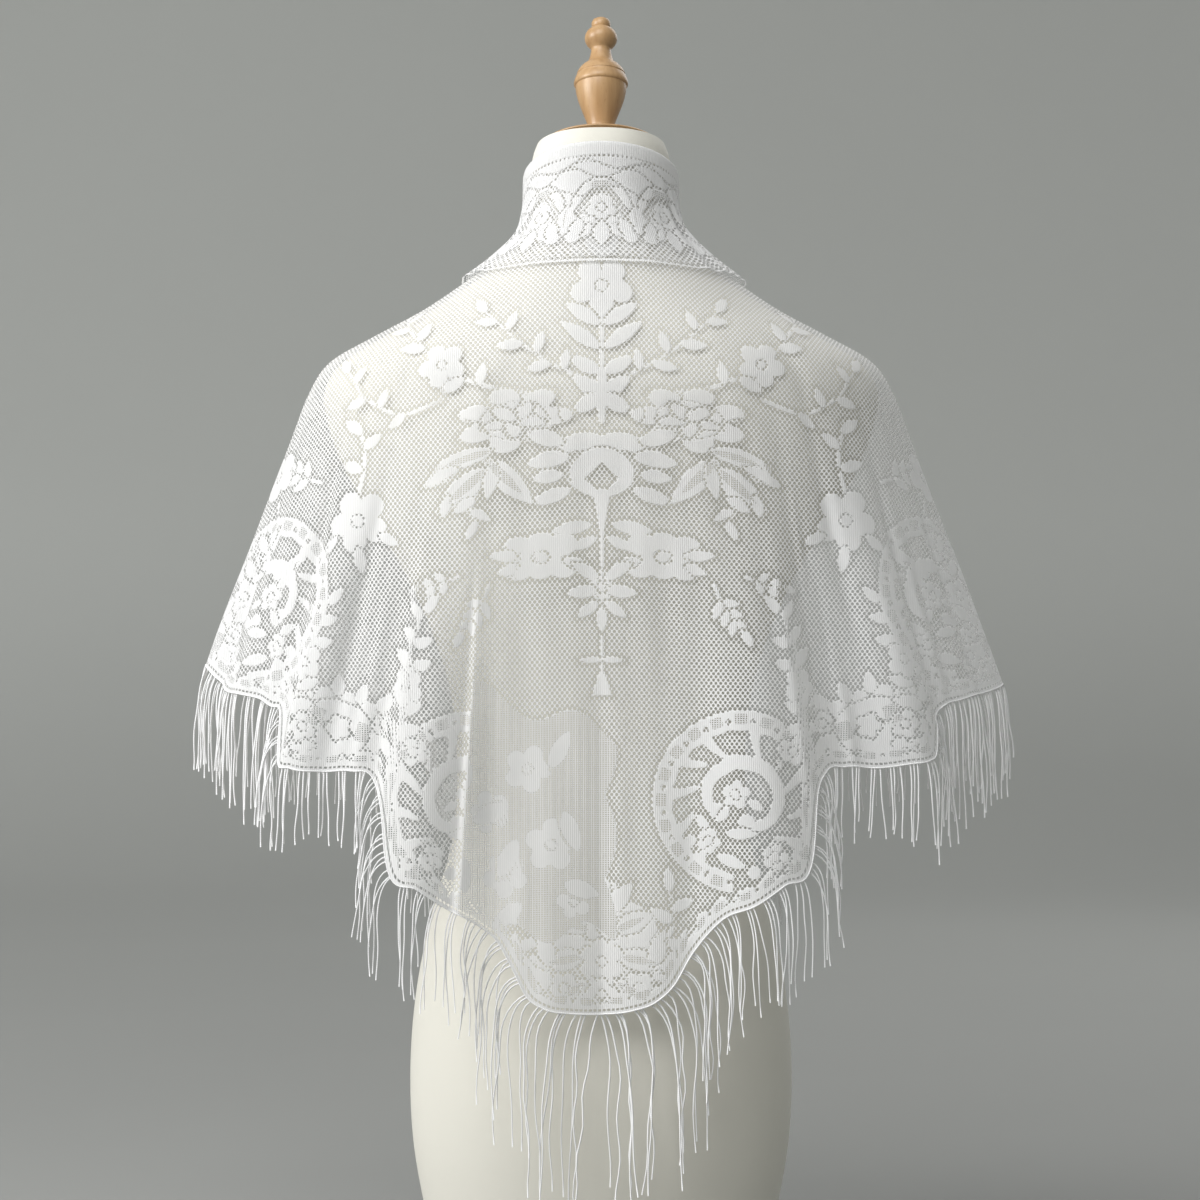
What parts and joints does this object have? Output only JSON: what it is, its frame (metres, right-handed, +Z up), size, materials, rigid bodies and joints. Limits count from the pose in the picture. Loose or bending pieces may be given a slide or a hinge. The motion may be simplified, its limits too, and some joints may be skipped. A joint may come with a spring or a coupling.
{
  "type": "lace shawl on a dress form",
  "caption": "Triangular lace shawl with a turned-down collar, folded wings and a long thread fringe, worn as a cape by a limbless dress form with a turned wooden finial.",
  "frame": {"origin": "on the form's flat underside, under the upright axis of its torso", "axes": "+Z up, -Y the back of the shawl and of the form, +X its right side as seen from the back"},
  "size_m": [0.6682, 0.2921, 1.05],
  "materials": {
    "form_jersey": "ivory stretch jersey over foam, matt",
    "turned_wood": "turned beech, satin lacquer",
    "lace": "white machine lace of fine polyester thread, soft sheen",
    "fringe_thread": "white twisted polyester thread"
  },
  "bodies": {
    "root": {"form_body": "form_jersey", "neck_cap": "turned_wood", "finial": "turned_wood", "lace_back": "lace", "lace_wing_left": "lace", "lace_wing_right": "lace", "lace_front_left": "lace", "lace_front_right": "lace", "lace_collar": "lace", "fringe_back": "fringe_thread", "fringe_wing_left": "fringe_thread", "fringe_wing_right": "fringe_thread", "fringe_front_left": "fringe_thread", "fringe_front_right": "fringe_thread"}
  },
  "joints": []
}
